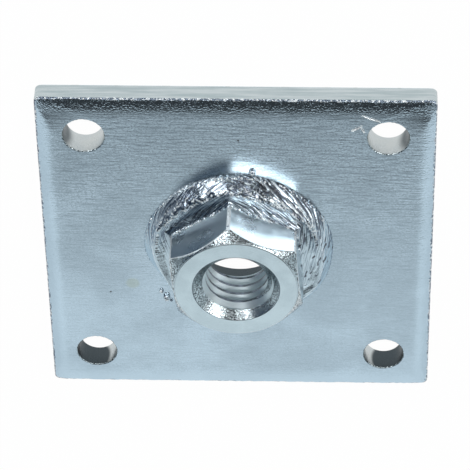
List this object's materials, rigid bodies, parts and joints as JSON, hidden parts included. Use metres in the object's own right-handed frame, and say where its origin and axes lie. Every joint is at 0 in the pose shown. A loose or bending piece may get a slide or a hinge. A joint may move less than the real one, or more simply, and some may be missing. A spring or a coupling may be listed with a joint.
{
  "type": "weld nut plate",
  "caption": "Square steel plate with screw holes at its corners and a hexagon nut welded over a clearance hole in the middle, so that a bolt or threaded rod can be screwed into it.",
  "frame": {"origin": "centre of the plate's back face, which is the face that it lies on", "axes": "+Z along the nut's axis, out of the mouth of the thread; X and Y along the plate's sides"},
  "size_m": [0.0524, 0.0524, 0.011],
  "materials": {
    "plate_zinc": "bright zinc plated, with rolling lines",
    "nut_zinc": "bright zinc plated, satin",
    "weld_zinc": "zinc plated over rippled weld metal"
  },
  "bodies": {
    "root": {"base_plate": "plate_zinc", "hex_nut": "nut_zinc", "weld_bead": "weld_zinc", "weld_spatter": "weld_zinc"}
  },
  "joints": []
}
